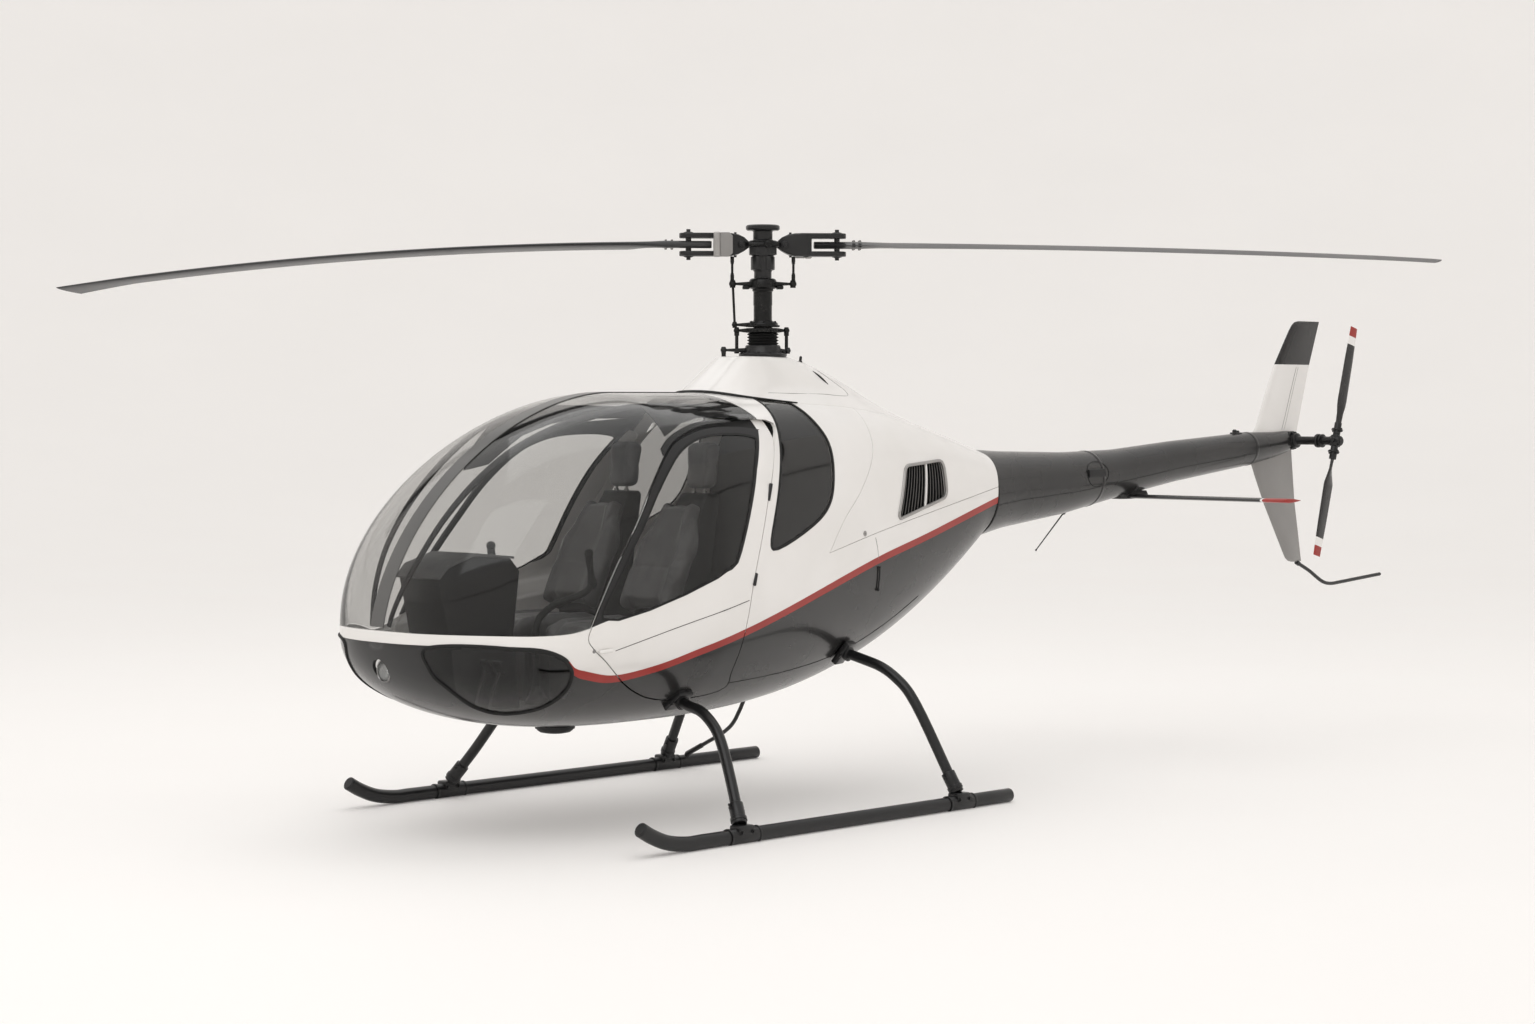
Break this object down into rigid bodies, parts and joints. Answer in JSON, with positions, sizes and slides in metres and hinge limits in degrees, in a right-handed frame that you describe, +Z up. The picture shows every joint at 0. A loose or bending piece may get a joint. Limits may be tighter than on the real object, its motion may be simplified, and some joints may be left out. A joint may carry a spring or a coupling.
{
  "type": "light two-seat helicopter",
  "caption": "Light two-seat helicopter on skids, with a two-blade main rotor, a tail rotor and hinged cabin doors.",
  "frame": {"origin": "on the ground under the middle of the helicopter's own box, between the skids", "axes": "+Z up, -Y towards the nose, +X to port"},
  "size_m": [4.5298, 8.0723, 2.795],
  "materials": {
    "white_gelcoat": "gloss",
    "graphite_gelcoat": "gloss",
    "clear_acrylic": "polished",
    "smoked_acrylic": "polished",
    "lamp_glass": "polished",
    "black_leather": "grained",
    "black_trim": "satin",
    "black_enamel": "satin",
    "cast_engine": "as cast",
    "blade_grey": "satin"
  },
  "bodies": {
    "fuselage": {"belly_dome": "black_trim", "cabin_floor": "black_trim", "cabin_shell": "white_gelcoat", "chin_window_port": "clear_acrylic", "chin_window_starboard": "clear_acrylic", "control_lever_port": "black_enamel", "control_lever_starboard": "black_enamel", "engine_block": "cast_engine", "engine_cowl": "white_gelcoat", "engine_grille_port": "black_enamel", "engine_grille_starboard": "black_enamel", "gear_brace": "black_enamel", "headlight": "lamp_glass", "hull_lower": "graphite_gelcoat", "instrument_console": "black_trim", "leg_front_port": "black_enamel", "leg_front_starboard": "black_enamel", "leg_rear_port": "black_enamel", "leg_rear_starboard": "black_enamel", "lower_fin": "blade_grey", "mast_housing": "black_enamel", "nose_belt": "white_gelcoat", "pylon_fairing": "white_gelcoat", "rear_bulkhead": "black_trim", "rear_window_port": "smoked_acrylic", "rear_window_starboard": "smoked_acrylic", "roof_rails": "black_trim", "seat_back_port": "black_leather", "seat_back_starboard": "black_leather", "seat_base_port": "black_trim", "seat_base_starboard": "black_trim", "seat_cushion_port": "black_leather", "seat_cushion_starboard": "black_leather", "skid_port": "black_enamel", "skid_starboard": "black_enamel", "tail_beacon": "black_enamel", "tail_boom": "graphite_gelcoat", "tail_gearbox": "black_enamel", "tail_guard": "black_enamel", "tailplane": "black_enamel", "upper_fin": "white_gelcoat", "whip_antenna": "black_enamel", "windscreen": "clear_acrylic", "windscreen_strip": "black_trim"},
    "rotor": {"rotor_mast": "black_enamel", "rotor_hub": "black_enamel", "blade_grip_a": "black_enamel", "blade_grip_b": "black_enamel", "pitch_link_a": "black_enamel", "pitch_link_b": "black_enamel", "main_blade_a": "blade_grey", "main_blade_b": "blade_grey"},
    "tail_rotor": {"tail_rotor_hub": "black_enamel", "tail_blade_a": "graphite_gelcoat", "tail_blade_b": "graphite_gelcoat"},
    "door_port": {"door_port": "white_gelcoat", "door_glass_port": "clear_acrylic"},
    "door_starboard": {"door_starboard": "white_gelcoat", "door_glass_starboard": "clear_acrylic"}
  },
  "joints": [
    {"name": "main_rotor_spin", "type": "hinge", "parent": "fuselage", "child": "rotor", "pos_m": [0, -1.4425, 2.4], "axis": [0, 0, 1], "continuous": true},
    {"name": "tail_rotor_spin", "type": "hinge", "parent": "fuselage", "child": "tail_rotor", "pos_m": [0.2, 3.0075, 1.7], "axis": [1, 0, 0], "continuous": true},
    {"name": "door_port_hinge", "type": "hinge", "parent": "fuselage", "child": "door_port", "pos_m": [0.59183, -1.9875, 1.515], "axis": [-0.1306, 0.3499, 0.9276], "range_deg": [0, 75]},
    {"name": "door_starboard_hinge", "type": "hinge", "parent": "fuselage", "child": "door_starboard", "pos_m": [-0.59183, -1.9875, 1.515], "axis": [-0.1306, -0.3499, -0.9276], "range_deg": [0, 75]}
  ]
}
